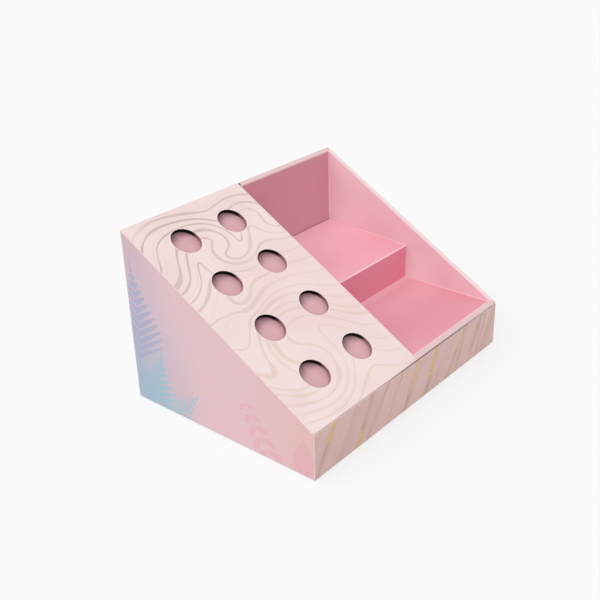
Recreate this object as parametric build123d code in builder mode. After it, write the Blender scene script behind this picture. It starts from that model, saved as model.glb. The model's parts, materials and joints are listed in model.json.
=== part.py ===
"""Counter display box of folded board: a wedge with a sloping hole deck beside an open bay with two steps.

Millimetres, +Z up. The origin is the middle of the base's underside, +X runs to the right
and the low front faces -Y.
"""

import os
from math import atan2, cos, hypot, sin, tan

from build123d import *

# Outer box, to the edges of its sloping top
width = 300.0
depth = 220.0
back_height = 176.0
front_height = 48.0

# Board, its folds and the gaps between neighbouring boards
board = 1.5
fold_inside = 0.3
crease_radius = 1.2
fit_gap = 0.3
seat_gap = 0.3

# Glue flaps inside the tray's corners
flap_width = 26.0
flap_clear = 4.0
flap_taper = 3.0

# Hole deck, measured on its sloping face
deck_width = 153.5
hole_diameter = 30.0
hole_columns = 2
hole_rows = 4
hole_margin_left = 48.0
hole_margin_divider = 44.5
hole_margin_front = 42.8
hole_margin_back = 38.5

# Rest deck under the holes
pot_recess = 4.0
rest_side_inset = 12.0

# Open bay: the slits and creases of its rim, and its two steps
rim_slit = 1.0
rim_crease_radius = 0.3
mitre_slit = 0.4
lower_step_height = 49.5
upper_step_front_height = 86.6
upper_step_back_height = 93.0
lower_step_depth = 104.0
step_flap_drop = 18.0
step_flap_inset = 6.0
step_flap_taper = 3.0

# Overrun of every cut, and the distance within which an edge counts as lying on a face
overrun = 5.0
touch = 0.01

# The sloping top face, shared by the hole deck and the rim
slope = atan2(back_height - front_height, depth)
slope_length = hypot(depth, back_height - front_height)
top_plane = Plane(
    origin=(0, -depth / 2, front_height),
    x_dir=(1, 0, 0),
    z_dir=(0, -sin(slope), cos(slope)),
)
# A board on that face is cut square, so its lower back edge sets how far up the slope it can reach
top_length = slope_length - board * tan(slope)

fold_outside = fold_inside + board
fold_centre = fold_inside + board / 2

# Inner faces of the tray, the right face of the divider, and the inner faces of the open bay,
# whose liner stands just inside the tray's glue flaps
tray_x = width / 2 - board
tray_y = depth / 2 - board
divider_x = -width / 2 + deck_width
bay_x = tray_x - board - fit_gap - board
bay_y = tray_y - board - fit_gap - board


def top_height(y, below=0.0):
    """Height at y of a plane parallel to the sloping top face, a given distance under it."""
    return front_height + (y + depth / 2) * tan(slope) - below / cos(slope)


def wall_top(y):
    """Height at y of the tray's wall edges, a hairline under the boards that lie on them."""
    return top_height(y, board + seat_gap)


def lies_on_top(edge):
    """Whether an edge lies in the sloping top face."""
    return all(abs(top_plane.to_local_coords(point).Z) < touch for point in (edge @ 0, edge @ 1))


# Outer tray: base and four walls, with flaps from the side walls behind the front wall
# and flaps from the back wall inside the side walls
flap_base = board + flap_clear
flap_end_x = tray_x - flap_width
flap_end_y = tray_y - flap_width

with BuildPart() as outer_tray:
    with BuildSketch(Plane.YZ):
        with BuildLine():
            Polyline(
                (-depth / 2, 0),
                (depth / 2, 0),
                (depth / 2, wall_top(depth / 2)),
                (-depth / 2, wall_top(-depth / 2)),
                close=True,
            )
        make_face()
    extrude(amount=width / 2, both=True)
    offset(amount=-board, openings=faces().sort_by(Axis.Z)[-1], kind=Kind.INTERSECTION)
    fillet(edges().filter_by_position(Axis.Z, board, board), radius=fold_inside)
    fillet(edges().filter_by_position(Axis.Z, 0, 0), radius=fold_outside)
    with BuildSketch(Plane.XZ.offset(tray_y)):
        with BuildLine():
            Polyline(
                (tray_x, flap_base),
                (flap_end_x, flap_base + flap_taper),
                (flap_end_x, wall_top(-tray_y) - flap_clear - flap_taper),
                (tray_x, wall_top(-tray_y) - flap_clear),
                close=True,
            )
        make_face()
        mirror(about=Plane.YZ)
    extrude(amount=-board)
    with BuildSketch(Plane.YZ.offset(tray_x)):
        with BuildLine():
            Polyline(
                (tray_y, flap_base),
                (flap_end_y, flap_base + flap_taper),
                (flap_end_y, wall_top(flap_end_y) - flap_clear - flap_taper),
                (tray_y, wall_top(tray_y) - flap_clear),
                close=True,
            )
        make_face()
    right_flap = extrude(amount=-board)
    mirror(right_flap, about=Plane.YZ)

# Hole deck: the sloping board with its die-cut holes, folded down at the right into the divider
hole_column_pitch = (deck_width - hole_margin_left - hole_margin_divider) / (hole_columns - 1)
hole_row_pitch = (slope_length - hole_margin_front - hole_margin_back) / (hole_rows - 1)
divider_reach = tray_y - fit_gap

with BuildPart() as hole_deck:
    with BuildSketch(top_plane):
        with Locations((divider_x, 0)):
            Rectangle(deck_width, top_length, align=(Align.MAX, Align.MIN))
        with Locations((-width / 2 + hole_margin_left, hole_margin_front)):
            with GridLocations(
                hole_column_pitch, hole_row_pitch, hole_columns, hole_rows, align=(Align.MIN, Align.MIN)
            ):
                Circle(hole_diameter / 2, mode=Mode.SUBTRACT)
    extrude(amount=-board)
    with BuildSketch(Plane.YZ.offset(divider_x)):
        with BuildLine():
            Polyline(
                (-divider_reach, board),
                (divider_reach, board),
                (divider_reach, top_height(divider_reach)),
                (-divider_reach, top_height(-divider_reach)),
                close=True,
            )
        make_face()
    extrude(amount=-board)
    divider_crease = edges().filter_by_position(Axis.X, divider_x, divider_x).filter_by(lies_on_top)
    fillet(divider_crease, radius=crease_radius)

# Rest deck: a platform parallel to the hole deck and close under it, with a leg at each end
# and turned-up sides that carry the hole deck
rest_left = -tray_x + board + fit_gap
rest_right = divider_x - board - fit_gap
rest_front = -tray_y + board + fit_gap + board / 2
rest_back = tray_y - fit_gap - board / 2
rest_centre = pot_recess + board / 2
rest_side_length = slope_length - 2 * rest_side_inset

with BuildPart() as rest_deck:
    with BuildSketch(Plane.YZ.offset(rest_left)):
        with BuildLine():
            FilletPolyline(
                (rest_front, board),
                (rest_front, top_height(rest_front, rest_centre)),
                (rest_back, top_height(rest_back, rest_centre)),
                (rest_back, board),
                radius=fold_centre,
            )
        trace(line_width=board)
    extrude(amount=rest_right - rest_left)
    with BuildSketch(top_plane.offset(-pot_recess - board)):
        with Locations((rest_left, slope_length / 2)):
            Rectangle(board, rest_side_length, align=(Align.MIN, Align.CENTER))
        with Locations((rest_right, slope_length / 2)):
            Rectangle(board, rest_side_length, align=(Align.MAX, Align.CENTER))
    extrude(amount=pot_recess)

# Compartment liner: front, right and back walls of the open bay in one strip, with their top edges
# turned out over the tray's walls, mitred at the corners and slit at the back beside the divider
liner_left = divider_x + fit_gap
liner_x = bay_x + board
liner_y = bay_y + board
slit_right = divider_x + rim_slit
mitre_length = hypot(width / 2 - liner_x, depth / 2 - liner_y) + overrun

with BuildPart() as compartment_liner:
    with BuildSketch(Plane.XY.offset(board)):
        with Locations((liner_left, 0)):
            Rectangle(liner_x - liner_left, 2 * liner_y, align=(Align.MIN, Align.CENTER))
    extrude(amount=back_height)
    fillet(edges().filter_by(Axis.Z).group_by(Axis.X)[-1], radius=fold_outside)
    split(bisect_by=top_plane, keep=Keep.BOTTOM)
    with BuildSketch(top_plane):
        with Locations((liner_left, 0)):
            Rectangle(width / 2 - liner_left, top_length, align=(Align.MIN, Align.MIN))
    extrude(amount=-board)
    with BuildSketch(Plane.XY):
        with Locations((bay_x, 0)):
            Rectangle(bay_x - liner_left + overrun, 2 * bay_y, align=(Align.MAX, Align.CENTER))
    extrude(amount=back_height + overrun, mode=Mode.SUBTRACT)
    rim_creases = edges().filter_by(lies_on_top).filter_by_position(Axis.X, liner_left, bay_x + touch)
    fillet(rim_creases.filter_by_position(Axis.Y, -bay_y - touch, bay_y + touch), radius=rim_crease_radius)
    with BuildSketch(Plane.XY):
        with Locations(Location((liner_x, -liner_y), -45), Location((liner_x, liner_y), 45)):
            Rectangle(mitre_length, mitre_slit, align=(Align.MIN, Align.CENTER))
        with Locations((slit_right, liner_y)):
            Rectangle(rim_slit + overrun, depth / 2 - liner_y + overrun, align=(Align.MAX, Align.MIN))
    extrude(amount=back_height + overrun, mode=Mode.SUBTRACT)

# Step insert: front leg, lower shelf, riser, upper shelf and back leg in one strip,
# with flaps at the shelves' ends. The upper shelf leans a little to the front
step_left = divider_x + fit_gap
step_right = bay_x - fit_gap
step_front = -bay_y + fit_gap + board / 2
step_back = bay_y - fit_gap - board / 2
riser_y = -bay_y + lower_step_depth + board / 2
lower_centre = lower_step_height - board / 2
upper_front_centre = upper_step_front_height - board / 2
upper_back_centre = upper_step_back_height - board / 2


def shelf_flap(front, front_centre, back, back_centre):
    """Draw a flap that hangs from a shelf's end, under the line from the shelf's front to its back."""
    lean = (back_centre - front_centre) / (back - front)
    flap_front = front + step_flap_inset
    flap_back = back - step_flap_inset
    flap_front_centre = front_centre + step_flap_inset * lean
    flap_back_centre = back_centre - step_flap_inset * lean
    Polygon(
        (flap_front, flap_front_centre),
        (flap_front + step_flap_taper, flap_front_centre - step_flap_drop),
        (flap_back - step_flap_taper, flap_back_centre - step_flap_drop),
        (flap_back, flap_back_centre),
        align=None,
    )


with BuildPart() as step_insert:
    with BuildSketch(Plane.YZ.offset(step_left)):
        with BuildLine():
            FilletPolyline(
                (step_front, board),
                (step_front, lower_centre),
                (riser_y, lower_centre),
                (riser_y, upper_front_centre),
                (step_back, upper_back_centre),
                (step_back, board),
                radius=fold_centre,
            )
        trace(line_width=board)
    extrude(amount=step_right - step_left)
    for end_x, inwards in ((step_left, board), (step_right, -board)):
        with BuildSketch(Plane.YZ.offset(end_x)):
            shelf_flap(step_front, lower_centre, riser_y, lower_centre)
            shelf_flap(riser_y, upper_front_centre, step_back, upper_back_centre)
        extrude(amount=inwards)

os.makedirs("parts", exist_ok=True)
for name, piece in (
    ("outer_tray", outer_tray),
    ("hole_deck", hole_deck),
    ("rest_deck", rest_deck),
    ("compartment_liner", compartment_liner),
    ("step_insert", step_insert),
):
    piece.part.label = name
    export_step(piece.part, f"parts/{name}.step")
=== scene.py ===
"""Looks of a counter display box of folded, printed board.

The five boards in model.glb are the frame. They keep their shape and their place, and this script gives them
their print, their paper and their cut edges, and sets up a pale studio around them.

Finishes measure in millimetres, as a printer does. What Blender itself places is in metres.
"""

import json
import logging
import math
from dataclasses import dataclass
from enum import Enum
from typing import Dict, Iterable, Tuple, Union

import bpy
from mathutils import Matrix, Vector


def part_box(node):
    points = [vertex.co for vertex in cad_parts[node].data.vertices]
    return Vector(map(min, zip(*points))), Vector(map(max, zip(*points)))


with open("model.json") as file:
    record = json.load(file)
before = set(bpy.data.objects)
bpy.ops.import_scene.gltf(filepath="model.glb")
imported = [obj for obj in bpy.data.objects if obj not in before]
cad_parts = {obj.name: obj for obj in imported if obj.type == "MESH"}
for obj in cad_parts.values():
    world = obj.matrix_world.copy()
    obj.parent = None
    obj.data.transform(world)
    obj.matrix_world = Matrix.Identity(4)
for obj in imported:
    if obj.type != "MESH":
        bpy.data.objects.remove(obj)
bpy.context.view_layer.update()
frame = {"nodes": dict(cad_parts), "record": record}

log = logging.getLogger("display_box")
MM = 1000.0
NOISE_MEAN = 0.5
# How squarely a face looks along an axis: enough to belong to that side, and enough to lie flat on it.
SQUARE_ON = 0.7
ALONG_AXIS = 0.999

Number = Union["Field", float]
Colour = Union["Tone", bpy.types.NodeSocket]
Span = Tuple[float, float]


@dataclass(frozen=True)
class Tone:
    """A printed colour, by its three sRGB values from 0 to 255."""

    red: int
    green: int
    blue: int

    def linear(self) -> Tuple[float, ...]:
        """The colour in linear light, with full alpha."""
        return tuple(self._open_up(value / 255) for value in (self.red, self.green, self.blue)) + (1.0,)

    @staticmethod
    def _open_up(value: float) -> float:
        """One sRGB value from 0 to 1 as linear light."""
        return value / 12.92 if value <= 0.04045 else ((value + 0.055) / 1.055) ** 2.4


@dataclass(frozen=True)
class Field:
    """A number that varies over a surface: a shader socket that can be reckoned with."""

    paint: "Paint"
    socket: bpy.types.NodeSocket

    def __add__(self, other: Number) -> "Field":
        """Sum of two fields."""
        return self.paint.math("ADD", self, other)

    def __radd__(self, other: float) -> "Field":
        """Sum of a plain number and a field."""
        return self.paint.math("ADD", other, self)

    def __sub__(self, other: Number) -> "Field":
        """Difference of two fields."""
        return self.paint.math("SUBTRACT", self, other)

    def __rsub__(self, other: float) -> "Field":
        """A plain number less a field."""
        return self.paint.math("SUBTRACT", other, self)

    def __mul__(self, other: Number) -> "Field":
        """Product of two fields."""
        return self.paint.math("MULTIPLY", self, other)

    def __rmul__(self, other: float) -> "Field":
        """Product of a plain number and a field."""
        return self.paint.math("MULTIPLY", other, self)

    def __truediv__(self, other: Number) -> "Field":
        """Quotient of two fields."""
        return self.paint.math("DIVIDE", self, other)

    def __abs__(self) -> "Field":
        """Size of the field without its sign."""
        return self.paint.math("ABSOLUTE", self)

    def above(self, edge: Number, ease: float) -> "Field":
        """1 where the field is over an edge and 0 where it is under, eased over a width."""
        return self.paint.ramp(self, edge - ease / 2, edge + ease / 2)

    def below(self, edge: Number, ease: float) -> "Field":
        """1 where the field is under an edge and 0 where it is over, eased over a width."""
        return self.paint.ramp(self, edge + ease / 2, edge - ease / 2)

    def at_least(self, least: float) -> "Field":
        """The field from 0 to 1, squeezed into the room between a least value and 1."""
        return least + (1.0 - least) * self


class Paint:
    """Writes the shader nodes of one finish, on the board's own coordinates in millimetres."""

    # The sockets of a Mix node that mixes colours.
    MIX_SHARE, MIX_GROUND, MIX_INK, MIX_COLOUR = 0, 6, 7, 2

    def __init__(self, name: str) -> None:
        """Start an empty finish.

        Args:
            name: The material's name.
        """
        self.material = bpy.data.materials.new(name)
        self.material.use_nodes = True
        self.tree = self.material.node_tree
        self.tree.nodes.clear()
        self.shader = self.node("ShaderNodeBsdfPrincipled")
        output = self.node("ShaderNodeOutputMaterial")
        self.tree.links.new(self.shader.outputs["BSDF"], output.inputs["Surface"])
        coordinates = self.node("ShaderNodeTexCoord")
        self.x, self.y, self.z = (part * MM for part in self._split(coordinates.outputs["Object"]))
        self.facing_x, self.facing_y, self.facing_z = self._split(coordinates.outputs["Normal"])

    def node(self, kind: str, **settings: object) -> bpy.types.Node:
        """Add a shader node.

        Args:
            kind: The node's type name.
            settings: Properties to set on it.

        Returns:
            The new node.
        """
        node = self.tree.nodes.new(kind)
        for key, value in settings.items():
            setattr(node, key, value)
        return node

    def feed(self, entry: bpy.types.NodeSocket, value: Union[Number, Colour]) -> None:
        """Put a field, a colour or a plain number into a socket.

        Args:
            entry: The socket that takes the value.
            value: What goes in.
        """
        if isinstance(value, Field):
            self.tree.links.new(value.socket, entry)
        elif isinstance(value, Tone):
            entry.default_value = value.linear()
        elif isinstance(value, bpy.types.NodeSocket):
            self.tree.links.new(value, entry)
        else:
            entry.default_value = value

    def _split(self, vector: bpy.types.NodeSocket) -> Tuple[Field, ...]:
        """Take a vector apart.

        Args:
            vector: The socket that gives it.

        Returns:
            Its three parts.
        """
        split = self.node("ShaderNodeSeparateXYZ")
        self.tree.links.new(vector, split.inputs[0])
        return tuple(Field(self, socket) for socket in split.outputs)

    def math(self, operation: str, *values: Number) -> Field:
        """Work one sum with fields and plain numbers.

        Args:
            operation: Blender's name of the sum.
            values: Its one to three numbers.

        Returns:
            The result.
        """
        node = self.node("ShaderNodeMath", operation=operation)
        for entry, value in zip(node.inputs, values):
            self.feed(entry, value)
        return Field(self, node.outputs[0])

    def _chain(self, operation: str, fields: Iterable[Field]) -> Field:
        """Work one sum through several fields.

        Args:
            operation: Blender's name of the sum.
            fields: The fields, in order.

        Returns:
            The result.
        """
        result, *others = fields
        for other in others:
            result = self.math(operation, result, other)
        return result

    def lowest(self, fields: Iterable[Field]) -> Field:
        """The smallest of several fields."""
        return self._chain("MINIMUM", fields)

    def highest(self, fields: Iterable[Field]) -> Field:
        """The largest of several fields."""
        return self._chain("MAXIMUM", fields)

    def reach(self, first: Number, second: Number) -> Field:
        """Length of a line with the two given sides."""
        return self.math("SQRT", first * first + second * second)

    def ramp(self, value: Field, low: Number, high: Number) -> Field:
        """Ease from 0 to 1 as a field goes from one number to another.

        Args:
            value: The field.
            low: Where the ramp starts.
            high: Where it ends, under the start for a falling ramp.

        Returns:
            The ramp, from 0 to 1.
        """
        node = self.node("ShaderNodeMapRange", interpolation_type="SMOOTHSTEP")
        for entry, number in zip(node.inputs, (value, low, high)):
            self.feed(entry, number)
        return Field(self, node.outputs["Result"])

    def noise(self, across: Number, along: Number, up: Number = 0.0, detail: float = 0.0) -> Field:
        """Smooth noise from about 0 to 1, one hill to each unit.

        Args:
            across: First coordinate, in hills.
            along: Second coordinate, in hills.
            up: Third coordinate, in hills.
            detail: How many finer layers lie on the hills.

        Returns:
            The noise.
        """
        point = self.node("ShaderNodeCombineXYZ")
        for entry, value in zip(point.inputs, (across, along, up)):
            self.feed(entry, value)
        node = self.node("ShaderNodeTexNoise")
        self.tree.links.new(point.outputs[0], node.inputs["Vector"])
        node.inputs["Scale"].default_value = 1.0
        node.inputs["Detail"].default_value = detail
        return Field(self, node.outputs["Fac"])

    def mottle(self, cell: float, detail: float) -> Field:
        """Smooth noise through the board itself, one hill to each cell."""
        return self.noise(self.x / cell, self.y / cell, self.z / cell, detail)

    def chance(self, number: Field) -> Field:
        """Throw the dice once for each value of a field, always with the same result.

        Args:
            number: The field.

        Returns:
            The throw, from 0 to 1.
        """
        node = self.node("ShaderNodeTexWhiteNoise", noise_dimensions="1D")
        self.feed(node.inputs["W"], number)
        return Field(self, node.outputs["Value"])

    def over(self, ground: Colour, ink: Colour, share: Number) -> bpy.types.NodeSocket:
        """Lay one colour over another.

        Args:
            ground: The colour below.
            ink: The colour on top.
            share: How much of the upper colour shows.

        Returns:
            The mixed colour.
        """
        node = self.node("ShaderNodeMix", data_type="RGBA")
        self.feed(node.inputs[self.MIX_SHARE], share)
        self.feed(node.inputs[self.MIX_GROUND], ground)
        self.feed(node.inputs[self.MIX_INK], ink)
        return node.outputs[self.MIX_COLOUR]


@dataclass(frozen=True)
class Wedge:
    """The box's main sizes in millimetres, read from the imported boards."""

    half_width: float
    half_depth: float
    top_offset: float
    front_climb: float
    slope_length: float
    normal_y: float
    normal_z: float
    board: float
    divider: float
    hole_radius: float
    hole_columns: Tuple[float, ...]
    hole_rows: Tuple[float, ...]
    # Painted shadow in the gap under the front rim: its least strength, what it gains, and the share of the
    # half width from the middle at which it is full.
    seam_shadow_least: float = 0.15
    seam_shadow_more: float = 0.6
    seam_shadow_full: float = 0.35

    @classmethod
    def from_frame(cls) -> "Wedge":
        """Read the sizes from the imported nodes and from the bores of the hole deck.

        Returns:
            The sizes.
        """
        low, high = (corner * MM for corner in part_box("outer_tray"))
        bores = [mount for mount in frame["record"]["mounts"] if mount["kind"] == "bore"]
        normal = Vector(bores[0]["axis"])
        rise = Vector((0.0, normal.z, -normal.y))
        centres = [Vector(bore["pos_m"]) * MM for bore in bores]
        board = bores[0]["dims"]["length_mm"]
        top_offset = centres[0].dot(normal) + board / 2
        front = Vector((0.0, low.y, (top_offset - low.y * normal.y) / normal.z))
        back = Vector((0.0, high.y, (top_offset - high.y * normal.y) / normal.z))
        return cls(
            half_width=high.x,
            half_depth=high.y,
            top_offset=top_offset,
            front_climb=front.dot(rise),
            slope_length=(back - front).length,
            normal_y=normal.y,
            normal_z=normal.z,
            board=board,
            divider=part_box("hole_deck")[1].x * MM,
            hole_radius=bores[0]["dims"]["r_mm"],
            hole_columns=tuple(sorted({round(centre.x, 2) for centre in centres})),
            hole_rows=tuple(sorted({round(centre.dot(rise) - front.dot(rise), 2) for centre in centres})),
        )

    def sunk(self, paint: Paint) -> Field:
        """How far a place lies under the sloping top face, in millimetres."""
        return self.top_offset - (paint.y * self.normal_y + paint.z * self.normal_z)

    def climb(self, paint: Paint) -> Field:
        """How far up the slope a place lies from the front edge, in millimetres."""
        return paint.y * self.normal_z - paint.z * self.normal_y - self.front_climb

    def faces_up(self, paint: Paint) -> Field:
        """How squarely a place faces out of the slope, from -1 to 1."""
        return paint.facing_y * self.normal_y + paint.facing_z * self.normal_z

    def from_hole(self, paint: Paint) -> Tuple[Field, Field]:
        """How far across and how far up the slope a place lies from the nearest hole's middle."""
        return (
            self._from_nearest(paint, paint.x, self.hole_columns),
            self._from_nearest(paint, self.climb(paint), self.hole_rows),
        )

    def seam_shadow_fade(self, paint: Paint) -> Field:
        """How strong the painted shadow in the gap under the front rim is: most towards the divider, least
        at the right end.
        """
        fade = paint.ramp(paint.x, self.half_width, self.half_width * self.seam_shadow_full)
        return self.seam_shadow_least + self.seam_shadow_more * fade

    @staticmethod
    def _from_nearest(paint: Paint, place: Field, middles: Tuple[float, ...]) -> Field:
        """Measure from the nearest of several evenly spaced middles.

        Args:
            paint: The finish that is being written.
            place: Where to measure.
            middles: The middles, in order.

        Returns:
            The distance, with its sign.
        """
        pitch = middles[1] - middles[0]
        count = paint.math("ROUND", (place - middles[0]) / pitch)
        held = paint.math("MAXIMUM", paint.math("MINIMUM", count, len(middles) - 1.0), 0.0)
        return place - middles[0] - held * pitch


@dataclass(frozen=True)
class Paper:
    """How a matt, coated paper takes a print: its fibre, its faint clouds and its dull sheen."""

    fibre: float = 0.7
    fibre_shade: float = 0.02
    relief: float = 0.03
    relief_strength: float = 0.35
    clouds: float = 26.0
    cloud_shade: float = 0.035
    cloud_dulling: float = 0.16
    layers: float = 2.0
    roughness: float = 0.5
    gloss: float = 0.35

    def carry(self, paint: Paint, colour: Colour) -> bpy.types.Material:
        """Put a print on the paper.

        Args:
            paint: The finish that is being written.
            colour: The printed colour.

        Returns:
            The finished material.
        """
        fibre = paint.mottle(self.fibre, self.layers)
        cloud = paint.mottle(self.clouds, self.layers) - NOISE_MEAN
        lightness = 1.0 + cloud * self.cloud_shade + (fibre - NOISE_MEAN) * self.fibre_shade
        shade = paint.node("ShaderNodeHueSaturation")
        paint.feed(shade.inputs["Value"], lightness)
        paint.feed(shade.inputs["Color"], colour)
        bump = paint.node("ShaderNodeBump")
        bump.inputs["Strength"].default_value = self.relief_strength
        bump.inputs["Distance"].default_value = self.relief / MM
        paint.feed(bump.inputs["Height"], fibre)
        shader = paint.shader
        paint.feed(shader.inputs["Base Color"], shade.outputs["Color"])
        paint.feed(shader.inputs["Roughness"], self.roughness + cloud * self.cloud_dulling)
        paint.feed(shader.inputs["Normal"], bump.outputs["Normal"])
        shader.inputs["Specular IOR Level"].default_value = self.gloss
        return paint.material


@dataclass(frozen=True)
class BoardCore:
    """The raw board that shows inside and on every cut edge: grey pulp between two white liners."""

    inside: Tone = Tone(226, 219, 212)
    liner: Tone = Tone(247, 238, 234)
    pulp: Tone = Tone(214, 203, 196)
    speck: float = 1.6
    speck_layers: float = 3.0
    speck_level: float = 0.62
    pulp_share: float = 0.3
    edge_ease: float = 0.12

    def inner_face(self, paint: Paint) -> bpy.types.NodeSocket:
        """The unprinted side of the board, with flecks of pulp."""
        flecks = paint.mottle(self.speck, self.speck_layers)
        return paint.over(self.inside, self.pulp, flecks.above(self.speck_level, ease=0.1))

    def cut_edge(self, paint: Paint, depth: Field, board: float) -> bpy.types.NodeSocket:
        """A cut through the board.

        Args:
            paint: The finish that is being written.
            depth: How deep a place lies in the board's thickness.
            board: The board's thickness.

        Returns:
            The colour of the cut.
        """
        from_middle = abs(depth - board / 2)
        pulp = from_middle.below(board * self.pulp_share, ease=board * self.edge_ease)
        return paint.over(self.liner, self.pulp, pulp)


@dataclass(frozen=True)
class Stir:
    """One whirl in the wet ink of a marbled print."""

    across: float
    along: float
    reach: float
    turn: float

    def carry(self, paint: Paint, across: Field, along: Field) -> Tuple[Field, Field]:
        """Turn a place about the whirl's middle, less with every step away from it.

        Args:
            paint: The finish that is being written.
            across: First coordinate on the print.
            along: Second coordinate on the print.

        Returns:
            Where the ink at that place came from.
        """
        right, rise = across - self.across, along - self.along
        fading = paint.math("EXPONENT", (right * right + rise * rise) * (-1.0 / self.reach ** 2))
        angle = fading * math.radians(self.turn)
        sine, cosine = paint.math("SINE", angle), paint.math("COSINE", angle)
        return right * cosine - rise * sine + self.across, right * sine + rise * cosine + self.along


@dataclass(frozen=True)
class StirredInk:
    """Rows of ink that several whirls have drawn out into flowing lines."""

    stirs: Tuple[Stir, ...]
    pitch: float
    thin: float
    bold: float
    seed: float
    pool: float = 0.0
    sway: float = 16.0
    sway_cell: float = 60.0
    swell_cell: float = 28.0
    line_from: float = 0.15
    line_stray: float = 0.5
    least_width: float = 0.4
    width_swell: Span = (0.2, 0.75)
    pool_odds: float = 0.6
    pool_swell: Span = (0.5, 0.78)
    soft_outside: float = 0.35
    soft_inside: float = 0.2
    least_strength: float = 0.7

    # What sets each throw of the dice apart from the others, and the measure of a line's slope.
    SWELL_DRAW, WIDTH_DRAW, STRENGTH_DRAW, POOL_DRAW = 5.0, 40.5, 80.5, 120.5
    STEP, LEAST_SLOPE = 0.3, 0.02

    def height(self, paint: Paint, across: Field, along: Field) -> Field:
        """Find where the ink at a place lay before it was stirred.

        Args:
            paint: The finish that is being written.
            across: First coordinate on the print.
            along: Second coordinate on the print.

        Returns:
            Its height, counted in rows.
        """
        for stir in self.stirs:
            across, along = stir.carry(paint, across, along)
        sway = paint.noise(across / self.sway_cell, along / self.sway_cell, self.seed) - NOISE_MEAN
        return (along + sway * self.sway) / self.pitch

    def lines(self, paint: Paint, across: Field, along: Field) -> Field:
        """Draw the lines.

        Args:
            paint: The finish that is being written.
            across: First coordinate on the print.
            along: Second coordinate on the print.

        Returns:
            The ink's strength from 0 to 1.
        """
        here = self.height(paint, across, along)
        rise_across = (self.height(paint, across + self.STEP, along) - here) / self.STEP
        rise_along = (self.height(paint, across, along + self.STEP) - here) / self.STEP
        slope = paint.math("MAXIMUM", paint.reach(rise_across, rise_along), self.LEAST_SLOPE)
        floor = paint.math("FLOOR", here)
        row = floor + self.seed
        aside = here - floor - (self.line_from + self.line_stray * paint.chance(row))
        swell = paint.noise(across / self.swell_cell, along / self.swell_cell, self.seed + self.SWELL_DRAW)
        half_width = self.thin + paint.chance(row + self.WIDTH_DRAW) * (self.bold - self.thin)
        pools = paint.chance(row + self.POOL_DRAW).above(self.pool_odds, ease=0.02)
        pooled = pools * paint.ramp(swell, *self.pool_swell) * self.pool
        half_width = half_width * paint.ramp(swell, *self.width_swell).at_least(self.least_width) + pooled
        line = paint.ramp(abs(aside) / slope, half_width + self.soft_outside, half_width - self.soft_inside)
        return line * paint.chance(row + self.STRENGTH_DRAW).at_least(self.least_strength)


class LeafKind(Enum):
    """The three simple leaves of the side's print."""

    OVAL = "one blade with a pale midrib and side veins"
    FERN = "slanting, pointed leaflets on both sides of a stem"
    SPRIG = "pairs of small round leaves along a stem"


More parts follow.
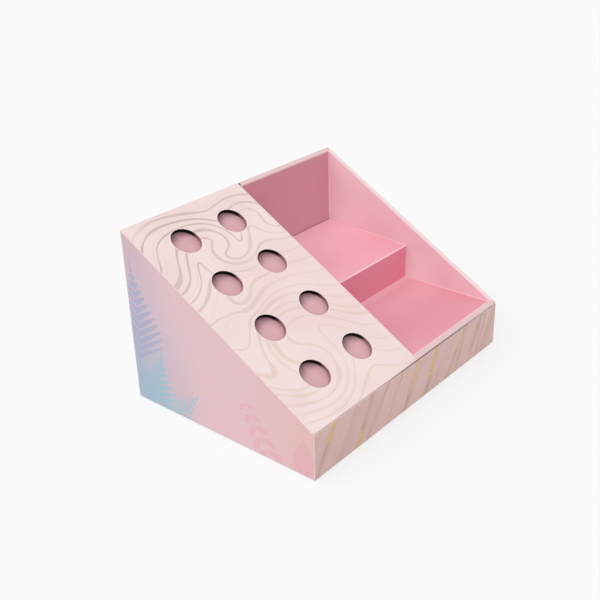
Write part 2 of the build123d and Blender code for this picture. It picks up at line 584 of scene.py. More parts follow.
@dataclass(frozen=True)
class Leaf:
    """One printed leaf, placed on the side wall by its foot."""

    kind: LeafKind
    from_front: float
    from_base: float
    lean: float
    length: float
    width: float
    tone: Tone
    strength: float
    blades: int = 9
    bend: float = 0.12
    stem: float = 0.45
    stem_end: float = 0.95
    inset: float = 0.4
    midrib: float = 0.5
    vein_slant: float = 0.9
    vein_gap: float = 0.42
    vein_strength: float = 0.6
    leaflet_slant: float = 0.75
    leaflet_width: float = 0.4
    thinnest: float = 0.01
    taper: float = 0.55
    round_width: float = 0.36

    # The cosine and the sine of the round leaves' turn.
    TURN = (0.6, 0.8)

    def shape(self, paint: Paint, across: Field, up: Field) -> Field:
        """The leaf's outline as a field from 0 to 1.

        Args:
            paint: The finish that is being written.
            across: Distance from the wall's front edge.
            up: Height over the base.

        Returns:
            1 inside the leaf, 0 outside.
        """
        sine, cosine = math.sin(math.radians(self.lean)), math.cos(math.radians(self.lean))
        right, rise = across - self.from_front, up - self.from_base
        along = (right * sine + rise * cosine) / self.length
        side = right * cosine - rise * sine
        bent = side - along * along * (self.length * self.bend)
        drawing = {LeafKind.OVAL: self._oval, LeafKind.FERN: self._fern, LeafKind.SPRIG: self._sprig}
        return drawing[self.kind](paint, along, bent)

    def _belly(self, paint: Paint, along: Field) -> Field:
        """Half the leaf's width along its length, round at the foot and pointed at the tip."""
        held = paint.math("SQRT", paint.ramp(along, 0.0, 1.0))
        return paint.math("SINE", held * math.pi) * (self.width / 2)

    def _comb(self, paint: Paint, along: Field, side: Field, slant: float) -> Field:
        """Count slanting blades along the leaf, each from -0.5 to 0.5."""
        blade = (along * self.length - abs(side) * slant) / (self.length / self.blades)
        return paint.math("FRACT", blade) - 0.5

    def _stem(self, along: Field, side: Field) -> Field:
        """A thin stem from the leaf's foot to near its tip."""
        inside = along.above(0.0, ease=0.02) * along.below(self.stem_end, ease=0.04)
        return abs(side).below(self.stem, ease=0.5) * inside

    def _oval(self, paint: Paint, along: Field, side: Field) -> Field:
        """Draw an oval blade, paler along its midrib and its side veins.

        Args:
            paint: The finish that is being written.
            along: Place from the leaf's foot, 0, to its tip, 1.
            side: Distance from the leaf's middle line.

        Returns:
            The drawing, from 0 to 1.
        """
        inside = (self._belly(paint, along) - abs(side)).above(self.inset, ease=0.8)
        midrib = abs(side).above(self.midrib, ease=0.6)
        veins = abs(self._comb(paint, along, side, self.vein_slant)).below(self.vein_gap, ease=0.08)
        return inside * midrib * veins.at_least(self.vein_strength)

    def _fern(self, paint: Paint, along: Field, side: Field) -> Field:
        """Draw slanting, pointed leaflets on both sides of the stem.

        Args:
            paint: The finish that is being written.
            along: Place from the leaf's foot, 0, to its tip, 1.
            side: Distance from the leaf's middle line.

        Returns:
            The drawing, from 0 to 1.
        """
        share = abs(side) / paint.math("MAXIMUM", self._belly(paint, along), self.thinnest)
        blade = abs(self._comb(paint, along, side, self.leaflet_slant))
        leaflet = blade.below(self.leaflet_width * (1.0 - share * share), ease=0.12)
        return paint.highest((leaflet * share.below(1.0, ease=0.04), self._stem(along, side)))

    def _sprig(self, paint: Paint, along: Field, side: Field) -> Field:
        """Draw pairs of round leaves, smaller towards the tip.

        Args:
            paint: The finish that is being written.
            along: Place from the sprig's foot, 0, to its tip, 1.
            side: Distance from the sprig's middle line.

        Returns:
            The drawing, from 0 to 1.
        """
        pitch, quarter = self.length / self.blades, self.width / 4
        cosine, sine = self.TURN
        shrink = 1.0 - self.taper * along
        forward = (paint.math("FRACT", along * self.blades) - 0.5) * pitch
        outward = abs(side) - quarter * shrink
        long_way = (forward * cosine - outward * sine) / quarter
        cross_way = (forward * sine + outward * cosine) / (pitch * self.round_width)
        inside = along.above(0.02, ease=0.02) * along.below(0.98, ease=0.02)
        leaf = paint.reach(long_way, cross_way).below(shrink, ease=0.2) * inside
        return paint.highest((leaf, self._stem(along, side)))


WHIRLS = (
    Stir(across=74.0, along=195.0, reach=25.0, turn=150.0),
    Stir(across=10.0, along=206.0, reach=44.0, turn=-62.0),
    Stir(across=142.0, along=206.0, reach=26.0, turn=110.0),
    Stir(across=34.0, along=146.0, reach=20.0, turn=90.0),
    Stir(across=58.0, along=62.0, reach=44.0, turn=-150.0),
    Stir(across=125.0, along=100.0, reach=40.0, turn=45.0),
)


@dataclass(frozen=True)
class MarblePrint:
    """Pale pink marble with flowing taupe and golden lines, as on the sloping deck."""

    ground: Tone = Tone(248, 227, 225)
    blush: Tone = Tone(245, 220, 219)
    taupe: Tone = Tone(207, 186, 181)
    gold: Tone = Tone(235, 208, 194)
    rows: StirredInk = StirredInk(WHIRLS, pitch=15.5, thin=0.9, bold=1.8, seed=21.0, pool=1.4)
    echoes: StirredInk = StirredInk(WHIRLS, pitch=11.0, thin=0.3, bold=0.9, seed=30.0)
    echo_strength: float = 0.2
    cloud: float = 55.0
    cloud_draw: float = 6.2
    cloud_span: Span = (0.35, 0.7)
    warm_lean: float = 0.7
    warm_span: Span = (-200.0, -20.0)
    warm_fading: float = 0.4
    bare_lean: float = 0.5
    bare_span: Span = (8.0, 26.0)

    def colour(self, paint: Paint, wedge: Wedge) -> bpy.types.NodeSocket:
        """Print the deck, with bolder lines at the back and a bare corner at the back left.

        Args:
            paint: The finish that is being written.
            wedge: The box's sizes.

        Returns:
            The print's colour.
        """
        across, along = paint.x + wedge.half_width, wedge.climb(paint)
        warm = paint.ramp(across * self.warm_lean - along, *self.warm_span)
        cloud = paint.noise(across / self.cloud, along / self.cloud, self.cloud_draw, detail=1.0)
        ground = paint.over(self.ground, self.blush, paint.ramp(cloud, *self.cloud_span))
        ink = paint.over(self.taupe, self.gold, warm)
        from_corner = across * self.bare_lean + wedge.slope_length - along
        drawn = paint.ramp(from_corner, *self.bare_span) * (1.0 - self.warm_fading * warm)
        echoes = self.echoes.lines(paint, across, along) * drawn * self.echo_strength
        ground = paint.over(ground, ink, echoes)
        return paint.over(ground, ink, self.rows.lines(paint, across, along) * drawn)


@dataclass(frozen=True)
class Streak:
    """One slanting vein of the front print, crisp on its left and soft on its right."""

    foot: float
    lean: float
    width: float
    strength: float
    gilt_from: float = 0.0
    gilt_to: float = 0.0
    drift: float = 7.0
    drift_cell: float = 22.0
    least_swell: float = 0.4
    swell_more: float = 1.2
    swell_cell: float = 9.0
    least_ink: float = 0.45
    ink_cell: float = 15.0
    ink_span: Span = (0.35, 0.6)
    grain_cell: Span = (1.8, 16.0)
    least_grain: float = 0.35
    grain_more: float = 1.2
    crisp: float = 0.9
    blotch_cell: Span = (2.5, 7.0)
    blotch_span: Span = (0.3, 0.5)
    gilt_start: Span = (-6.0, 4.0)
    gilt_end: Span = (6.0, -3.0)
    gilt_right: Span = (1.7, 0.6)
    body_right: Span = (1.8, 0.1)
    wash_left: Span = (-1.6, -0.4)
    wash_right: Span = (3.4, 0.6)

    # What sets each noise of a vein apart from the others.
    SWELL_DRAW, INK_DRAW, BLOTCH_DRAW = 0.5, 2.5, 4.0

    @staticmethod
    def _fade(paint: Paint, aside: Field, half: Field, halves: Span) -> Field:
        """Ease from 0 to 1 between two distances from the vein's middle, counted in half widths."""
        return paint.ramp(aside, half * halves[0], half * halves[1])

    def draw(self, paint: Paint, across: Field, up: Field) -> Tuple[Field, Field, Field]:
        """Draw the vein.

        Args:
            paint: The finish that is being written.
            across: Distance from the left end of the front.
            up: Height over the base.

        Returns:
            The strength of the wash around the vein, the vein's own, and how much of it is gold.
        """
        drift = (paint.noise(up / self.drift_cell, self.foot) - NOISE_MEAN) * self.drift
        swell = paint.noise(up / self.swell_cell, self.foot + self.SWELL_DRAW, detail=2.0)
        ink = paint.noise(up / self.ink_cell, self.foot + self.INK_DRAW)
        ink = paint.ramp(ink, *self.ink_span).at_least(self.least_ink)
        aside = across - self.foot - up * math.tan(math.radians(self.lean)) - drift
        half = (self.least_swell + self.swell_more * swell) * (self.width / 2)
        grain = paint.noise(aside / self.grain_cell[0], up / self.grain_cell[1], self.foot, detail=2.0)
        left = paint.ramp(aside + half, -self.crisp, self.crisp)
        body = left * self._fade(paint, aside, half, self.body_right)
        body = body * (self.least_grain + self.grain_more * grain)
        gilt = paint.ramp(up, *(self.gilt_from + end for end in self.gilt_start))
        gilt = gilt * paint.ramp(up, *(self.gilt_to + end for end in self.gilt_end))
        patch = self.foot + self.BLOTCH_DRAW
        blotch = paint.noise(aside / self.blotch_cell[0], up / self.blotch_cell[1], patch, detail=2.0)
        gilt = gilt * paint.ramp(blotch, *self.blotch_span) * self._fade(paint, aside, half, self.gilt_right)
        wash = self._fade(paint, aside, half, self.wash_left)
        wash = wash * self._fade(paint, aside, half, self.wash_right)
        return wash * self.strength, body * ink * self.strength, gilt


@dataclass(frozen=True)
class VeinedPrint:
    """Dusky pink marble with slanting grey-brown veins, partly gilt, as on the low front."""

    ground: Tone = Tone(249, 210, 206)
    shade: Tone = Tone(237, 198, 193)
    haze: Tone = Tone(249, 222, 219)
    stain: Tone = Tone(236, 204, 184)
    umber: Tone = Tone(217, 175, 166)
    gold: Tone = Tone(255, 208, 134)
    cloud_cell: Span = (24.0, 70.0)
    cloud_slant: float = 0.55
    cloud_draw: float = 31.0
    cloud_span: Span = (0.4, 0.9)
    haze_cell: Span = (9.0, 30.0)
    haze_slant: float = 0.6
    haze_draw: float = 47.0
    haze_span: Span = (0.5, 0.75)
    haze_strength: float = 0.6
    wash_strength: float = 0.7
    streaks: Tuple[Streak, ...] = (
        Streak(2.0, 30.0, 6.4, 0.75, 29.0, 60.0),
        Streak(33.0, 30.0, 2.4, 0.4),
        Streak(59.0, 27.0, 7.4, 0.85, -10.0, 13.0),
        Streak(73.0, 38.0, 3.0, 0.7),
        Streak(102.0, 31.0, 3.4, 0.5, -10.0, 6.0),
        Streak(131.0, 30.0, 7.0, 0.8, 20.0, 60.0),
        Streak(168.0, 23.0, 7.4, 0.8, 18.0, 60.0),
        Streak(205.0, 37.0, 6.0, 0.7, 26.0, 40.0),
        Streak(221.0, 25.0, 4.6, 0.7),
        Streak(246.0, 29.0, 6.4, 0.7, -10.0, 12.0),
        Streak(262.0, 22.0, 2.6, 0.6),
        Streak(274.0, 26.0, 12.0, 0.3),
    )

    def colour(self, paint: Paint, wedge: Wedge) -> bpy.types.NodeSocket:
        """Print the front wall: a clouded ground, then the veins from left to right.

        Args:
            paint: The finish that is being written.
            wedge: The box's sizes.

        Returns:
            The print's colour.
        """
        across, up = paint.x + wedge.half_width, paint.z
        slanting = (across - up * self.cloud_slant) / self.cloud_cell[0]
        cloud = paint.noise(slanting, up / self.cloud_cell[1], self.cloud_draw, detail=1.0)
        slanting = (across - up * self.haze_slant) / self.haze_cell[0]
        haze = paint.noise(slanting, up / self.haze_cell[1], self.haze_draw, detail=3.0)
        colour = paint.over(self.ground, self.shade, paint.ramp(cloud, *self.cloud_span))
        colour = paint.over(colour, self.haze, paint.ramp(haze, *self.haze_span) * self.haze_strength)
        for streak in self.streaks:
            wash, body, gilt = streak.draw(paint, across, up)
            colour = paint.over(colour, self.stain, wash * self.wash_strength)
            colour = paint.over(colour, paint.over(self.umber, self.gold, gilt), body)
        return colour


@dataclass(frozen=True)
class SidePrint:
    """A soft field of pink that turns blue low at the back, with a few pale leaves."""

    pink: Tone = Tone(228, 192, 198)
    peach: Tone = Tone(229, 187, 187)
    rose: Tone = Tone(231, 184, 191)
    mist: Tone = Tone(176, 184, 199)
    lavender: Tone = Tone(202, 176, 191)
    peach_span: Span = (80.0, 10.0)
    rose_reach: Span = (48.0, 32.0)
    lavender_back: Span = (70.0, 0.0)
    lavender_height: Span = (70.0, 150.0)
    lavender_strength: float = 0.7
    mist_reach: Span = (95.0, 165.0)
    mist_span: Span = (1.1, 0.1)
    leaves: Tuple[Leaf, ...] = (
        Leaf(LeafKind.FERN, 150.0, -6.0, 10.0, 96.0, 52.0, Tone(216, 184, 196), 0.55, 13),
        Leaf(LeafKind.FERN, 212.0, 44.0, -6.0, 106.0, 70.0, Tone(160, 168, 200), 0.65, 13),
        Leaf(LeafKind.OVAL, 214.0, -4.0, -4.0, 62.0, 34.0, Tone(156, 182, 206), 0.45, 9),
        Leaf(LeafKind.FERN, 202.0, -12.0, -22.0, 84.0, 50.0, Tone(146, 192, 206), 0.65, 11),
        Leaf(LeafKind.FERN, 184.0, -12.0, -54.0, 72.0, 42.0, Tone(150, 196, 206), 0.6, 9),
        Leaf(LeafKind.SPRIG, 50.0, -2.0, 24.0, 60.0, 36.0, Tone(230, 166, 182), 0.5, 5),
        Leaf(LeafKind.OVAL, 14.0, -2.0, -10.0, 48.0, 26.0, Tone(228, 158, 172), 0.4, 7),
    )

    def colour(self, paint: Paint, wedge: Wedge) -> bpy.types.NodeSocket:
        """Print a side wall: the soft field first, then the leaves.

        Args:
            paint: The finish that is being written.
            wedge: The box's sizes.

        Returns:
            The print's colour.
        """
        from_front, from_back = paint.y + wedge.half_depth, wedge.half_depth - paint.y
        ground = paint.over(self.pink, self.peach, paint.ramp(from_front, *self.peach_span))
        low_front = paint.reach(from_front / self.rose_reach[0], paint.z / self.rose_reach[1])
        ground = paint.over(ground, self.rose, paint.ramp(low_front, 1.0, 0.0))
        high_back = paint.ramp(from_back, *self.lavender_back) * paint.ramp(paint.z, *self.lavender_height)
        ground = paint.over(ground, self.lavender, high_back * self.lavender_strength)
        low_back = paint.reach(from_back / self.mist_reach[0], paint.z / self.mist_reach[1])
        ground = paint.over(ground, self.mist, paint.ramp(low_back, *self.mist_span))
        for leaf in self.leaves:
            ground = paint.over(ground, leaf.tone, leaf.shape(paint, from_front, paint.z) * leaf.strength)
        return ground


@dataclass
class OuterTray:
    """The printed tray: base and four walls."""

    wedge: Wedge
    side: SidePrint = SidePrint()
    front: VeinedPrint = VeinedPrint()
    back: Tone = Tone(236, 206, 208)
    # A pale tone for wear and for painted highlight, at the vertical corners, along the foot and on the
    # front cut edge.
    rub_and_highlight: Tone = Tone(250, 232, 230)
    shadow: Tone = Tone(120, 86, 82)
    core: BoardCore = BoardCore()
    paper: Paper = Paper()
    scuff: float = 9.0
    scuff_layers: float = 3.0
    corner_rub_and_highlight: Span = (0.2, 0.7)
    corner_highlight_strength: float = 0.6
    foot_rub: Span = (0.1, 1.4)
    foot_strength: float = 0.4
    front_edge: float = 2.0
    edges_from: float = 20.0

    def dress(self) -> bpy.types.Object:
        """Print the outside of the tray and leave its inside raw.

        Returns:
            The tray's object.
        """
        wedge, paint = self.wedge, Paint("outer_print")
        walls = {
            "left": paint.x + wedge.half_width,
            "right": wedge.half_width - paint.x,
            "front": paint.y + wedge.half_depth,
            "back": wedge.half_depth - paint.y,
        }
        skin = paint.lowest([*walls.values(), paint.z]).below(wedge.board / 2, ease=0.05)
        on_side = abs(paint.facing_x).above(SQUARE_ON, ease=0.04)
        on_front = paint.facing_y.below(-SQUARE_ON, ease=0.04)
        underneath = paint.facing_z.below(-SQUARE_ON, ease=0.04)
        colour = paint.over(self.back, self.side.colour(paint, wedge), on_side)
        colour = paint.over(colour, self.front.colour(paint, wedge), on_front)
        colour = paint.over(colour, self.core.inner_face(paint), underneath)
        scuff = paint.mottle(self.scuff, self.scuff_layers)
        corner = paint.highest((
            paint.lowest((walls["left"], walls["right"])),
            paint.lowest((walls["front"], walls["back"])),
        ))
        # The vertical corners are paler: wear, broken up by the scuff noise, and a painted highlight.
        at_corner = corner.below(self.corner_rub_and_highlight[0] + scuff * self.corner_rub_and_highlight[1], ease=0.5)
        colour = paint.over(colour, self.rub_and_highlight, at_corner * self.corner_highlight_strength)
        at_foot = paint.z.below(self.foot_rub[0] + scuff * self.foot_rub[1], ease=0.6)
        colour = paint.over(colour, self.rub_and_highlight, at_foot * self.foot_strength)
        colour = paint.over(self.core.inner_face(paint), colour, skin)
        cut = self.core.cut_edge(paint, paint.lowest(walls.values()), wedge.board)
        # The front wall's cut edge: painted light at the left, and painted shadow in the gap under the deck
        # and the rim from the divider on, fainter at the right end.
        seam_shadow = paint.ramp(paint.x, -wedge.half_width / 2, wedge.divider) * wedge.seam_shadow_fade(paint)
        front_cut = paint.over(self.rub_and_highlight, self.shadow, seam_shadow)
        cut = paint.over(cut, front_cut, walls["front"].below(wedge.board * self.front_edge, ease=0.2))
        on_edge = paint.facing_z.above(0.5, ease=0.04) * paint.z.above(self.edges_from, ease=1.0)
        colour = paint.over(colour, cut, on_edge)
        return wear("outer_tray", self.paper.carry(paint, colour))


@dataclass
class HoleDeck:
    """The sloping deck with its holes, folded down into the divider."""

    wedge: Wedge
    marble: MarblePrint = MarblePrint()
    divider: Tone = Tone(240, 165, 179)
    # Painted highlight around each hole and along the deck's bend into the divider.
    ring: Tone = Tone(253, 240, 238)
    highlight_ring_width: float = 0.8
    highlight_ring_strength: float = 0.7
    fold_highlight_width: float = 1.3
    fold_highlight_strength: float = 0.8
    hole_depth: float = 0.3
    # Painted shade on the holes' cut walls: a dim tone that darkens to near black towards the back of each
    # hole.
    shade_span: Span = (0.0, 8.0)
    shaded_hole_wall: Tone = Tone(178, 132, 140)
    hole_shade: Tone = Tone(24, 18, 20)
    wrapped: Tone = Tone(244, 211, 213)
    wrapped_front: Tone = Tone(250, 208, 204)
    core: BoardCore = BoardCore()
    paper: Paper = Paper()

    def dress(self) -> bpy.types.Object:
        """Print the top of the deck with painted highlights around the holes and along its bend into the
        divider, line the divider and colour the cut edges, with painted shade in the holes.

        Returns:
            The deck's object.
        """
        wedge, paint = self.wedge, Paint("marble_print")
        sunk, up = wedge.sunk(paint), wedge.faces_up(paint)
        from_hole = wedge.from_hole(paint)
        hole = paint.reach(*from_hole)
        # Painted highlight around each hole and along the bend into the divider.
        ring = hole.below(wedge.hole_radius + self.highlight_ring_width, ease=0.6) * self.highlight_ring_strength
        colour = paint.over(self.marble.colour(paint, wedge), self.ring, ring)
        from_divider = wedge.divider - paint.x
        fold_highlight = from_divider.below(self.fold_highlight_width, ease=0.5) * self.fold_highlight_strength
        colour = paint.over(colour, self.ring, fold_highlight)
        # The holes' cut walls are painted in shade, near black towards the back of each hole.
        shaded_hole_wall = paint.over(self.shaded_hole_wall, self.hole_shade, paint.ramp(from_hole[1], *self.shade_span))
        cut = paint.over(self.wrapped, self.wrapped_front, paint.facing_y.below(-0.5, ease=0.1))
        cut = paint.over(cut, shaded_hole_wall, hole.below(wedge.hole_radius + self.hole_depth, ease=0.1))
        on_edge = abs(up).below(0.4, ease=0.05) * sunk.below(wedge.board * 1.1, ease=0.05)
        colour = paint.over(colour, cut, on_edge)
        right_face = paint.facing_x.above(0.8, ease=0.05) * from_divider.below(0.3, ease=0.1)
        colour = paint.over(colour, self.divider, right_face)
        inside = sunk.above(wedge.board * 1.05, ease=0.05) * (1.0 - right_face)
        hidden = paint.highest((up.below(-0.6, ease=0.05), inside))
        colour = paint.over(colour, self.core.inner_face(paint), hidden)
        return wear("hole_deck", self.paper.carry(paint, colour))


@dataclass
class RestDeck:
    """The platform under the holes: a pink disc under each, with painted shade on the discs and painted
    shadow on the platform around them, under the deck.
    """

    wedge: Wedge
    disc: Tone = Tone(226, 176, 184)
    # Painted shade on the discs, and painted shadow on the platform around them, deepest towards the back.
    disc_shade: Tone = Tone(128, 84, 94)
    beside: Tone = Tone(196, 144, 153)
    under_deck_shadow: Tone = Tone(34, 25, 28)
    core: BoardCore = BoardCore()
    paper: Paper = Paper()
    disc_inset: float = 0.4
    # How the painted shade lies on each disc, and where the painted shadow around it turns near black.
    shade_spread: float = 0.35
    shade_lean: float = 0.15
    shade_from: float = 3.0
    shade_past: float = 1.5
    shade_strength: float = 0.85
    right_shade_from: float = 4.0
    right_shade_strength: float = 0.15
    under_deck_shadow_span: Span = (-1.0, 7.0)

    def dress(self) -> bpy.types.Object:
        """Line the platform's top, with painted shade on the discs and painted shadow around them.

        Returns:
            The platform's object.
        """
        wedge, paint = self.wedge, Paint("rest_pink")
        across, along = wedge.from_hole(paint)
        # Painted shade on each disc, heaviest towards the back and the left, a little on the right.
        upwards = along + abs(across) * self.shade_spread - across * self.shade_lean
        shaded = paint.ramp(upwards, self.shade_from, wedge.hole_radius + self.shade_past)
        right = paint.ramp(across, self.right_shade_from, wedge.hole_radius)
        shaded = paint.highest((shaded * self.shade_strength, right * self.right_shade_strength))
        disc = paint.over(self.disc, self.disc_shade, shaded)
        # Around the disc the platform under the deck is painted in shadow, near black towards the back.
        beyond = paint.over(self.beside, self.under_deck_shadow, paint.ramp(along, *self.under_deck_shadow_span))
        on_disc = paint.reach(across, along).below(wedge.hole_radius - self.disc_inset, ease=0.8)
        top = paint.over(beyond, disc, on_disc)
        on_top = wedge.faces_up(paint).above(0.5, ease=0.05)
        colour = paint.over(self.core.inner_face(paint), top, on_top)
        return wear("rest_deck", self.paper.carry(paint, colour))


@dataclass
class CompartmentLiner:
    """The open bay's walls, turned out over the tray as a pale rim."""

    wedge: Wedge
    wall: Tone = Tone(233, 190, 199)
    # Painted light: the walls paler towards the back and in the nooks over the shelves.
    far_wall_light: Tone = Tone(247, 207, 214)
    lit_nook: Tone = Tone(254, 229, 235)
    back_wall: Tone = Tone(223, 155, 172)
    back_low: Tone = Tone(220, 167, 182)
    rim: Tone = Tone(246, 220, 222)
    rim_front: Tone = Tone(233, 201, 202)
    rim_back: Tone = Tone(237, 204, 207)
    wrapped: Tone = Tone(238, 211, 211)
    shadow: Tone = Tone(120, 86, 86)
    # Paler creases with painted highlight, at the inner corners and along the rim's bend.
    crease_and_highlight: Tone = Tone(254, 222, 227)
    paper: Paper = Paper()
    # Reaches of the walls' painted light, towards the back and in the nooks by the riser and the back wall.
    far_span: Span = (10.0, 100.0)
    riser_nook: Span = (50.0, 45.0)
    riser_light: float = 0.9
    back_nook: Span = (60.0, 50.0)
    back_light: float = 0.8
    back_top: float = 165.0
    crease_highlight_width: float = 0.6
    crease_highlight_strength: float = 0.8
    fold_highlight_depth: float = 1.2
    fold_highlight_strength: float = 0.7
    seam_shadow_depth: float = 0.72
    slit_width: float = 3.0

    @staticmethod
    def _nook(paint: Paint, aside: Field, above: Field, size: Span) -> Field:
        """Painted light in one of the bay's nooks, fading with the distance aside and above over its size.
        """
        return paint.ramp(aside, size[0], 0.0) * paint.ramp(above, size[1], 0.0)

    def _walls(self, paint: Paint, inner_back: float) -> bpy.types.NodeSocket:
        """Line the walls, with painted light towards the back and in the nooks over the shelves.

        Args:
            paint: The finish that is being written.
            inner_back: How far back the back wall's inner face stands.

        Returns:
            The walls' colour.
        """
        lower_height, upper_height = shelf_heights()
        # Painted light lifts the walls towards the back and in the nooks by the riser and the back wall.
        by_riser = self._nook(paint, riser_place() - paint.y, paint.z - lower_height, self.riser_nook)
        by_back = self._nook(paint, inner_back - paint.y, paint.z - upper_height, self.back_nook)
        lit_nook = paint.highest((by_riser * self.riser_light, by_back * self.back_light))
        wall = paint.over(self.wall, self.far_wall_light, paint.ramp(paint.y, *self.far_span))
        wall = paint.over(wall, self.lit_nook, lit_nook)
        low = paint.ramp(paint.z, self.back_top, upper_height)
        back_wall = paint.over(self.back_wall, self.back_low, low)
        return paint.over(back_wall, wall, abs(paint.facing_x).above(SQUARE_ON, ease=0.3))

    def dress(self) -> bpy.types.Object:
        """Line the walls, pale the rim, paint highlights on the creases and the rim's bend, and paint shadow
        along the rim's cut edge and in the corner slit.

        Returns:
            The liner's object.
        """
        wedge, paint = self.wedge, Paint("liner_pink")
        sunk, up = wedge.sunk(paint), wedge.faces_up(paint)
        inner_right = inner_face_place("compartment_liner", Vector((-1.0, 0.0, 0.0)))
        inner_back = inner_face_place("compartment_liner", Vector((0.0, -1.0, 0.0)))
        past_right, past_end = paint.x - inner_right, abs(paint.y) - inner_back
        # The inner corners and the rim's bend are paler: paler creases and painted highlight.
        corner = paint.highest((abs(past_right), abs(past_end))).below(self.crease_highlight_width, ease=0.6)
        colour = paint.over(self._walls(paint, inner_back), self.crease_and_highlight, corner * self.crease_highlight_strength)
        fold_highlight = sunk.below(self.fold_highlight_depth, ease=0.8) * self.fold_highlight_strength
        colour = paint.over(colour, self.crease_and_highlight, fold_highlight)
        rim_end = paint.over(self.rim_front, self.rim_back, paint.y.above(0.0, ease=1.0))
        rim = paint.over(self.rim, rim_end, (past_end - past_right).above(0.0, ease=0.6))
        colour = paint.over(colour, rim, up.above(0.6, ease=0.1))
        # Painted shadow on the rim's cut edge, in the gap over the tray's walls, strongest towards the
        # divider.
        outside = paint.lowest((wedge.half_width - paint.x, wedge.half_depth - abs(paint.y)))
        on_edge = outside.below(0.2, ease=0.1) * abs(up).below(0.6, ease=0.1)
        seam_shadow = sunk.above(wedge.board * self.seam_shadow_depth, ease=0.3) * wedge.seam_shadow_fade(paint)
        colour = paint.over(colour, paint.over(self.wrapped, self.shadow, seam_shadow), on_edge)
        # Painted shadow in the slit at the rim's back-left corner.
        slit = paint.facing_x.below(-SQUARE_ON, ease=0.1) * (paint.y - inner_back).above(0.5, ease=0.2)
        slit = slit * (paint.x - wedge.divider).below(self.slit_width, ease=0.2)
        colour = paint.over(colour, self.shadow, slit)
        return wear("compartment_liner", self.paper.carry(paint, colour))


@dataclass
class StepInsert:
    """The two shelves of the open bay and the riser between them."""

    upper: Tone = Tone(244, 172, 186)
    # Painted shade at the upper shelf's front right, and painted light towards its back, on the lower shelf
    # towards the riser and in the nook.
    upper_right_shade: Tone = Tone(233, 167, 180)
    upper_back_light: Tone = Tone(255, 200, 213)
    lower: Tone = Tone(225, 151, 165)
    lower_back_light: Tone = Tone(239, 173, 186)
    lit_nook: Tone = Tone(255, 205, 216)
    riser: Tone = Tone(239, 149, 171)
    crease_and_highlight: Tone = Tone(255, 216, 223)
    paper: Paper = Paper()
    # Reaches of the painted light by the divider, the riser and the nook, and of the upper shelf's painted
    # light and shade.
    divider_reach: float = 60.0
    divider_span: Span = (60.0, 15.0)
    divider_least: float = 0.3
    lower_reach: float = 70.0
    nook_reach: float = 14.0
    nook_light: float = 0.8
    upper_span: Span = (20.0, 105.0)
    upper_beside: float = 0.5
    right_reach: float = 50.0
    right_span: Span = (70.0, 0.0)
    over_lower: float = 5.0
    end_width: float = 1.1

    def dress(self) -> bpy.types.Object:
        """Line the shelves and the riser, with painted light by the walls and the riser, painted shade at
        the upper shelf's front right, and painted highlights on their folds and ends.

        Returns:
            The insert's object.
        """
        paint = Paint("step_pink")
        left_end, right_end = (corner.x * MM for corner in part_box("step_insert"))
        lower_height, _ = shelf_heights()
        from_left, before_riser = paint.x - left_end, riser_place() - paint.y
        # Painted light on the lower shelf by the divider and towards the riser, with more in the nook at the
        # riser.
        beside = paint.ramp(from_left, self.divider_reach, 0.0)
        by_divider = beside * paint.ramp(before_riser, *self.divider_span).at_least(self.divider_least)
        deep = paint.highest((paint.ramp(before_riser, self.lower_reach, 0.0), by_divider))
        lower = paint.over(self.lower, self.lower_back_light, deep)
        lit_nook = paint.ramp(before_riser, self.nook_reach, 0.0) * self.nook_light
        lower = paint.over(lower, self.lit_nook, lit_nook)
        # Painted light on the upper shelf towards the back and by the divider, painted shade at its front
        # right.
        deep = paint.highest((paint.ramp(paint.y, *self.upper_span), beside * self.upper_beside))
        from_right = right_end - paint.x
        front_right = paint.ramp(from_right, self.right_reach, 0.0) * paint.ramp(paint.y, *self.right_span)
        upper = paint.over(self.upper, self.upper_right_shade, front_right)
        upper = paint.over(upper, self.upper_back_light, deep)
        shelf = paint.over(lower, upper, paint.z.above(lower_height + self.over_lower, ease=1.0))
        colour = paint.over(shelf, self.riser, paint.facing_y.below(-0.8, ease=0.3))
        # Paler creases with painted highlight at the shelves' right ends and on the step's front bend.
        colour = paint.over(colour, self.crease_and_highlight, from_right.below(self.end_width, ease=0.6))
        fold_highlight = paint.facing_z.above(0.4, ease=0.3) * paint.facing_y.below(-0.3, ease=0.3)
        colour = paint.over(colour, self.crease_and_highlight, fold_highlight)
        return wear("step_insert", self.paper.carry(paint, colour))


def inner_face_place(node: str, direction: Vector) -> float:
    """Find the largest face of a node that looks in a direction.

    Args:
        node: The CAD node's name.
        direction: Where the face looks, along one axis.

    Returns:
        The face's place on that axis, in millimetres.
    """
    areas: Dict[float, float] = {}
    for polygon in frame["nodes"][node].data.polygons:
        if polygon.normal.dot(direction) > ALONG_AXIS:
            place = round(abs(polygon.center.dot(direction)) * MM, 1)
            areas[place] = areas.get(place, 0.0) + polygon.area
    return max(areas, key=areas.get)


def shelf_heights() -> Tuple[float, float]:
    """How high the lower shelf and the back of the upper shelf lie, in millimetres."""
    return inner_face_place("step_insert", Vector((0.0, 0.0, 1.0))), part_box("step_insert")[1].z * MM


def riser_place() -> float:
    """Find the riser between the shelves.

    Returns:
        How far back it stands, in millimetres.
    """
    lower_height, upper_height = shelf_heights()
    middle = (lower_height + upper_height) / 2 / MM
    corners = [vertex.co for vertex in frame["nodes"]["step_insert"].data.vertices]
    return min(corner.y for corner in corners if corner.z > middle) * MM


def wear(node: str, material: bpy.types.Material) -> bpy.types.Object:
    """Put a finish on all of a CAD node.

    Args:
        node: The node's name.
        material: The finish.

    Returns:
        The node's object.
    """
    board = frame["nodes"][node]
    for slot in board.material_slots:
        slot.material = material
    log.info("%s: %d faces in %s", node, len(board.data.polygons), material.name)
    return board


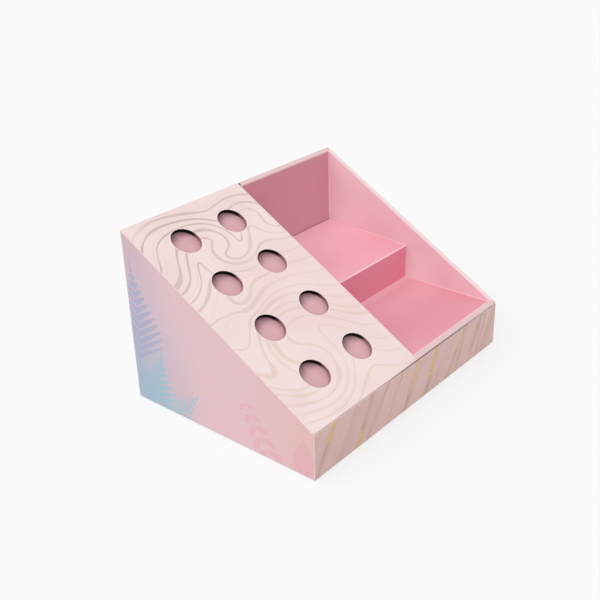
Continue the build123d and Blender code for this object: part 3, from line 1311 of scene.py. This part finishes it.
@dataclass(frozen=True)
class Studio:
    """A pale floor, soft light and the photograph's camera."""

    backdrop: Tone = Tone(249, 249, 249)
    floor_side: float = 24.0
    floor_drop: float = 0.0003
    bounce: Tone = Tone(188, 188, 188)
    shadow_share: float = 0.25
    ambient: float = 0.62
    ambient_tone: Tone = Tone(255, 255, 255)
    key: float = 0.62
    key_from: Tuple[float, float, float] = (-0.66, 0.2, 0.72)
    key_spread: float = 100.0
    azimuth: float = -49.4544
    elevation: float = 26.6149
    roll: float = -1.7278
    distance: float = 0.8802171
    target: Tuple[float, float, float] = (-0.0338541, 0.0, 0.091435)
    focal_pixels: float = 925.4645
    frame_pixels: float = 600.0
    sensor: float = 36.0

    @staticmethod
    def _seen_rays(tree: bpy.types.NodeTree) -> bpy.types.NodeSocket:
        """1 for every ray that shows the backdrop: to the camera, in a gloss or through glass.

        Args:
            tree: The node tree that asks.

        Returns:
            The socket that tells.
        """
        light_path = tree.nodes.new("ShaderNodeLightPath")
        seen = light_path.outputs["Is Camera Ray"]
        for ray in ("Is Glossy Ray", "Is Transmission Ray"):
            either = tree.nodes.new("ShaderNodeMath")
            either.operation = "MAXIMUM"
            tree.links.new(seen, either.inputs[0])
            tree.links.new(light_path.outputs[ray], either.inputs[1])
            seen = either.outputs[0]
        return seen

    def lay_floor(self) -> bpy.types.Object:
        """Lay the floor, which shows the backdrop's colour with a share of real light for the shadow.

        Returns:
            The floor's object.
        """
        bpy.ops.object.select_all(action="DESELECT")
        bpy.ops.mesh.primitive_plane_add(size=self.floor_side, location=(0.0, 0.0, -self.floor_drop))
        floor = bpy.context.object
        floor.name = "floor"
        material = bpy.data.materials.new("floor")
        material.use_nodes = True
        nodes, links = material.node_tree.nodes, material.node_tree.links
        nodes.clear()
        dull, matt = nodes.new("ShaderNodeBsdfDiffuse"), nodes.new("ShaderNodeBsdfDiffuse")
        dull.inputs["Color"].default_value = self.bounce.linear()
        matt.inputs["Color"].default_value = self.backdrop.linear()
        glow = nodes.new("ShaderNodeEmission")
        glow.inputs["Color"].default_value = self.backdrop.linear()
        shown, mix = nodes.new("ShaderNodeMixShader"), nodes.new("ShaderNodeMixShader")
        shown.inputs[0].default_value = self.shadow_share
        links.new(glow.outputs[0], shown.inputs[1])
        links.new(matt.outputs[0], shown.inputs[2])
        links.new(self._seen_rays(material.node_tree), mix.inputs[0])
        links.new(dull.outputs[0], mix.inputs[1])
        links.new(shown.outputs[0], mix.inputs[2])
        output = nodes.new("ShaderNodeOutputMaterial")
        links.new(mix.outputs[0], output.inputs["Surface"])
        floor.data.materials.append(material)
        log.info("floor: %.0f m a side", self.floor_side)
        return floor

    def light(self) -> None:
        """Light the box by an even world and one very wide, soft key from the upper left."""
        scene = bpy.context.scene
        world = bpy.data.worlds.new("studio")
        world.use_nodes = True
        scene.world = world
        nodes, links = world.node_tree.nodes, world.node_tree.links
        nodes.clear()
        even, pale = nodes.new("ShaderNodeBackground"), nodes.new("ShaderNodeBackground")
        even.inputs["Strength"].default_value = self.ambient
        even.inputs["Color"].default_value = self.ambient_tone.linear()
        pale.inputs["Color"].default_value = self.backdrop.linear()
        mix = nodes.new("ShaderNodeMixShader")
        links.new(self._seen_rays(world.node_tree), mix.inputs[0])
        links.new(even.outputs[0], mix.inputs[1])
        links.new(pale.outputs[0], mix.inputs[2])
        output = nodes.new("ShaderNodeOutputWorld")
        links.new(mix.outputs[0], output.inputs["Surface"])
        lamp = bpy.data.lights.new("key", "SUN")
        lamp.energy = self.key * math.pi
        lamp.angle = math.radians(self.key_spread)
        key = bpy.data.objects.new("key", lamp)
        key.rotation_euler = Vector(self.key_from).to_track_quat("Z", "Y").to_euler()
        scene.collection.objects.link(key)

    def set_camera(self) -> bpy.types.Object:
        """Stand the camera where the photograph was taken from.

        Returns:
            The camera's object.
        """
        turn, lift, roll = (math.radians(angle) for angle in (self.azimuth, self.elevation, self.roll))
        towards = Vector((math.sin(turn) * math.cos(lift), -math.cos(turn) * math.cos(lift), math.sin(lift)))
        level = Vector((math.cos(turn), math.sin(turn), 0.0))
        upright = towards.cross(level)
        right = level * math.cos(roll) + upright * math.sin(roll)
        up = upright * math.cos(roll) - level * math.sin(roll)
        lens = bpy.data.cameras.new("camera")
        lens.sensor_width = self.sensor
        lens.lens = self.sensor * self.focal_pixels / self.frame_pixels
        lens.clip_end = self.floor_side * 2
        camera = bpy.data.objects.new("camera", lens)
        place = Vector(self.target) + towards * self.distance
        camera.matrix_world = Matrix.Translation(place) @ Matrix((right, up, towards)).transposed().to_4x4()
        scene = bpy.context.scene
        scene.collection.objects.link(camera)
        scene.camera = camera
        scene.view_settings.view_transform = "Standard"
        return camera


def main() -> None:
    """Dress the boards in order and set up the studio."""
    logging.basicConfig(level=logging.INFO, format="%(name)s %(message)s")
    wedge = Wedge.from_frame()
    pieces = (OuterTray(wedge), HoleDeck(wedge), RestDeck(wedge), CompartmentLiner(wedge), StepInsert())
    for piece in pieces:
        piece.dress()
    studio = Studio()
    studio.lay_floor()
    studio.light()
    studio.set_camera()


if __name__ == "__main__":
    main()
